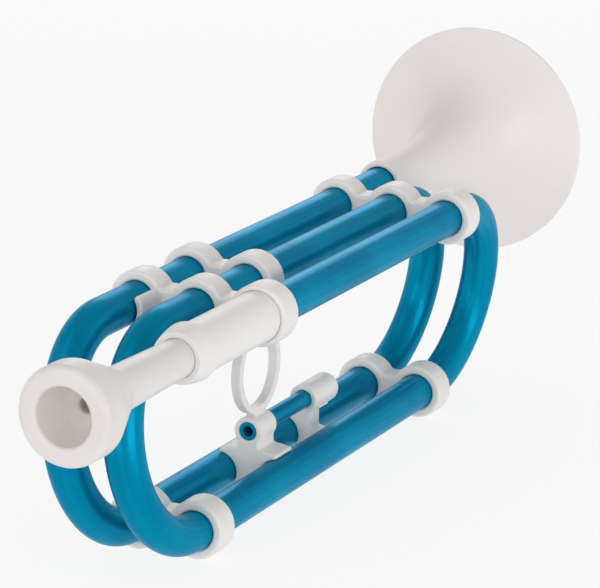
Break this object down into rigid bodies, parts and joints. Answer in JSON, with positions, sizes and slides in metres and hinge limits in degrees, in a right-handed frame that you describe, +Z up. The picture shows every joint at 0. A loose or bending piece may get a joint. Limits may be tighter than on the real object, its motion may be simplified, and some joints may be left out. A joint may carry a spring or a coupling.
{
  "type": "plastic trumpet",
  "caption": "Plastic trumpet without valves: a tube coiled twice in white clips, with a flared bell, a finger ring, a tuning sleeve and a pull-out mouthpiece.",
  "frame": {"origin": "centre of the whole part's bounding box in X and Y, at its lowest point in Z, on the underside of the bottom row's clips", "axes": "+Y is the way the bell points, +X is the player's right, on the lead tube's side, and +Z is up, from the bottom row of tubes to the top row"},
  "size_m": [0.101, 0.3958, 0.1181],
  "materials": {
    "blue_tube": "satin extruded plastic tube, blue with a faint pearl sheen",
    "white_moulding": "satin moulded plastic, warm white",
    "white_bell": "satin moulded plastic, warm white",
    "white_mouthpiece": "smooth satin moulded plastic, warm white"
  },
  "bodies": {
    "coil": {"lead_tube": "blue_tube", "middle_tube": "blue_tube", "bell_tube": "blue_tube", "low_near_tube": "blue_tube", "low_far_tube": "blue_tube", "front_near_bend": "blue_tube", "front_far_bend": "blue_tube", "rear_near_bend": "blue_tube", "rear_far_bend": "blue_tube", "front_upper_clip": "white_moulding", "second_upper_clip": "white_moulding", "rear_upper_clip": "white_moulding", "front_lower_clip": "white_moulding", "rear_lower_clip": "white_moulding", "finger_ring_bracket": "white_moulding", "rear_bracket": "white_moulding", "grip_tube": "blue_tube", "bell": "white_bell"},
    "tuning_slide": {"tuning_sleeve": "white_moulding", "receiver_collar": "white_moulding"},
    "mouthpiece_body": {"mouthpiece": "white_mouthpiece"}
  },
  "joints": [
    {"name": "tuning_slide_pull", "type": "slide", "parent": "coil", "child": "tuning_slide", "axis": [0, -1, 0], "range_m": [0, 0.015]},
    {"name": "mouthpiece_pull", "type": "slide", "parent": "tuning_slide", "child": "mouthpiece_body", "axis": [0, -1, 0], "range_m": [0, 0.024]}
  ]
}
